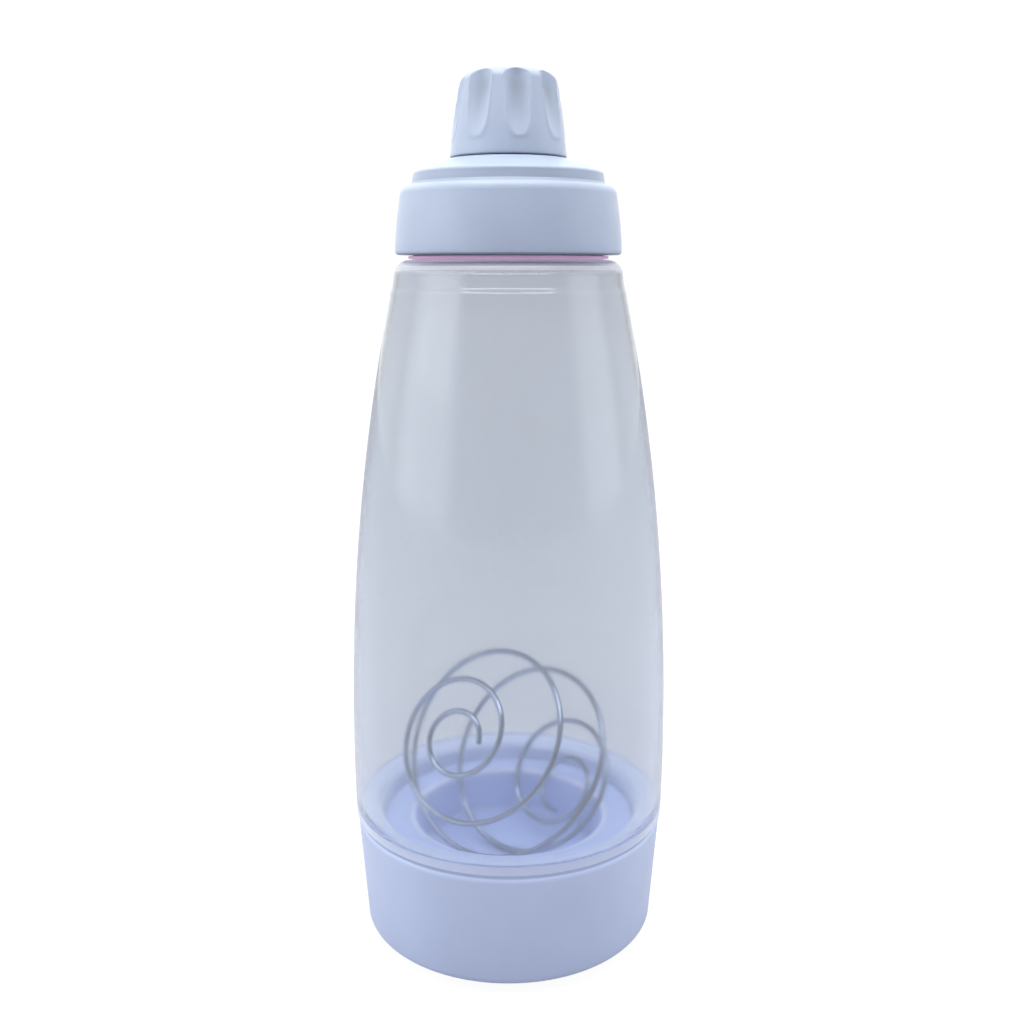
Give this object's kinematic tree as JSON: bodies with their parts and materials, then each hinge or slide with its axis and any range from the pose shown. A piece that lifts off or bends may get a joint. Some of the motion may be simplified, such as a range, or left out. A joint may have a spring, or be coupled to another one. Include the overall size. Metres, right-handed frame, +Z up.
{
  "type": "squeeze bottle",
  "caption": "Clear squeeze bottle with a screw-off base, a stepped screw lid, a fluted cap over its nozzle and a loose wire whisk ball inside.",
  "frame": {"origin": "middle of the foot, on the surface that the bottle stands on", "axes": "+Z up along the bottle's axis, towards the cap; the picture looks along +Y from -Y, with +X to its right"},
  "size_m": [0.0854, 0.0854, 0.2293],
  "materials": {
    "pale_blue_plastic": "smooth satin moulding, faintly translucent",
    "blue_floor_plastic": "smooth satin moulding",
    "white_silicone": "soft, matt",
    "clear_plastic": "clear with a light blue haze, glossy",
    "pink_silicone": "soft, matt",
    "white_blue_plastic": "smooth satin moulding",
    "clear_silicone": "soft, translucent",
    "white_plastic": "smooth satin moulding",
    "cap_plastic": "smooth satin moulding",
    "liner_foam": "soft foam, matt",
    "steel_wire": "polished round wire"
  },
  "bodies": {
    "base": {"base_cup": "pale_blue_plastic", "base_tray": "blue_floor_plastic"},
    "base_ring": {"base_seal": "white_silicone"},
    "shell": {"bottle_shell": "clear_plastic"},
    "lid_ring": {"lid_seal": "pink_silicone"},
    "screw_lid": {"lid": "white_blue_plastic", "spout": "clear_silicone", "spout_retainer": "white_plastic"},
    "liner": {"cap_liner": "liner_foam"},
    "fluted_cap": {"overcap": "cap_plastic"},
    "ball": {"whisk_ball": "steel_wire"}
  },
  "joints": [
    {"name": "shell_turn", "type": "hinge", "parent": "base", "child": "base_ring", "pos_m": [0, 0, 0], "axis": [0, 0, 1], "range_deg": [0, 540]},
    {"name": "shell_lift", "type": "slide", "parent": "base_ring", "child": "shell", "axis": [0, 0, 1], "range_m": [0, 0.0061]},
    {"name": "lid_turn", "type": "hinge", "parent": "shell", "child": "lid_ring", "pos_m": [0, 0, 0], "axis": [0, 0, 1], "range_deg": [0, 540]},
    {"name": "lid_lift", "type": "slide", "parent": "lid_ring", "child": "screw_lid", "axis": [0, 0, 1], "range_m": [0, 0.0061]},
    {"name": "cap_lift", "type": "slide", "parent": "screw_lid", "child": "liner", "axis": [0, 0, 1], "range_m": [0, 0.0046]},
    {"name": "cap_turn", "type": "hinge", "parent": "liner", "child": "fluted_cap", "pos_m": [0, 0, 0], "axis": [0, 0, 1], "range_deg": [0, 540]},
    {"name": "whisk_rise", "type": "slide", "parent": "base", "child": "ball", "axis": [0, 0, 1], "range_m": [0, 0.108]}
  ],
  "couplings": [
    {"joint": "shell_lift", "follows": "shell_turn", "m_per_rad": 0.00063662},
    {"joint": "lid_lift", "follows": "lid_turn", "m_per_rad": 0.00063662},
    {"joint": "cap_lift", "follows": "cap_turn", "m_per_rad": 0.00047746}
  ]
}
